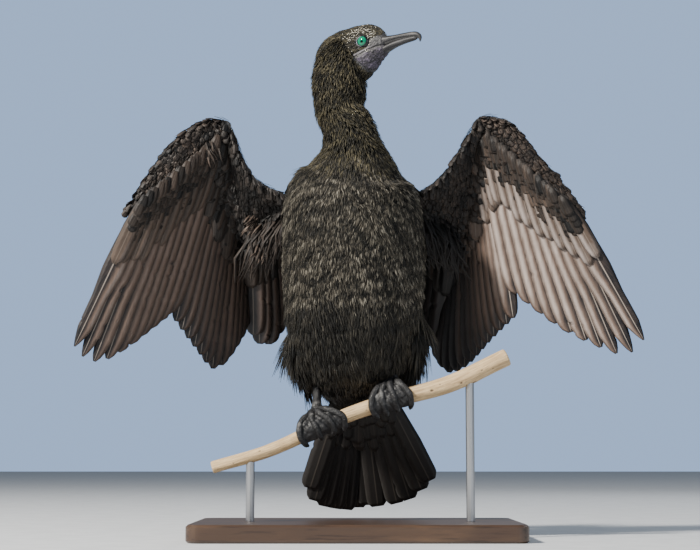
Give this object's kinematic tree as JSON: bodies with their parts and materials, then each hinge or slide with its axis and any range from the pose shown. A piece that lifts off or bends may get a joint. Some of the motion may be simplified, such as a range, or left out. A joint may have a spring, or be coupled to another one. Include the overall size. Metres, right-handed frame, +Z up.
{
  "type": "little black cormorant drying its wings, still museum model on a display stand",
  "caption": "Still life-size model of a small black cormorant with its wings held open, gripping a cut branch on a rod stand with a flat base.",
  "frame": {"origin": "centre of the base's underside in X, on the floor; the base's middle lies 15 mm behind it", "axes": "+Z up, the bird's body faces -Y, its left wing reaches towards +X"},
  "size_m": [0.536, 0.19, 0.4786],
  "materials": {
    "plumage": "soft black-brown body feathers with a faint bronze-green sheen",
    "flight_feather": "smooth dark brown vanes, paler and greyer below, with light shafts",
    "bill": "satin dark grey horn",
    "eye": "wet gloss, emerald green iris, black pupil",
    "foot_skin": "black scaled skin with grey highlights",
    "claw": "dull black horn",
    "branch": "bare weathered wood, pale straw with darker knots",
    "base_wood": "dark stained satin wood",
    "rod_steel": "brushed steel rod"
  },
  "bodies": {
    "root": {"head": "plumage", "neck_upper": "plumage", "neck_lower": "plumage", "torso_breast": "plumage", "torso_belly": "plumage", "thigh_left": "plumage", "thigh_right": "plumage", "wing_left_upper_arm": "plumage", "wing_right_upper_arm": "plumage", "tail": "flight_feather", "wing_left_forearm": "flight_feather", "wing_left_hand": "flight_feather", "wing_right_forearm": "flight_feather", "wing_right_hand": "flight_feather", "bill_upper": "bill", "bill_lower": "bill", "eye_left": "eye", "eye_right": "eye", "tarsus_left": "foot_skin", "tarsus_right": "foot_skin", "foot_left": "foot_skin", "foot_right": "foot_skin", "claw_left_1": "claw", "claw_left_2": "claw", "claw_left_3": "claw", "claw_left_4": "claw", "claw_right_1": "claw", "claw_right_2": "claw", "claw_right_3": "claw", "claw_right_4": "claw", "perch": "branch", "stand_base": "base_wood", "stand_rod_left": "rod_steel", "stand_rod_right": "rod_steel"}
  },
  "joints": []
}
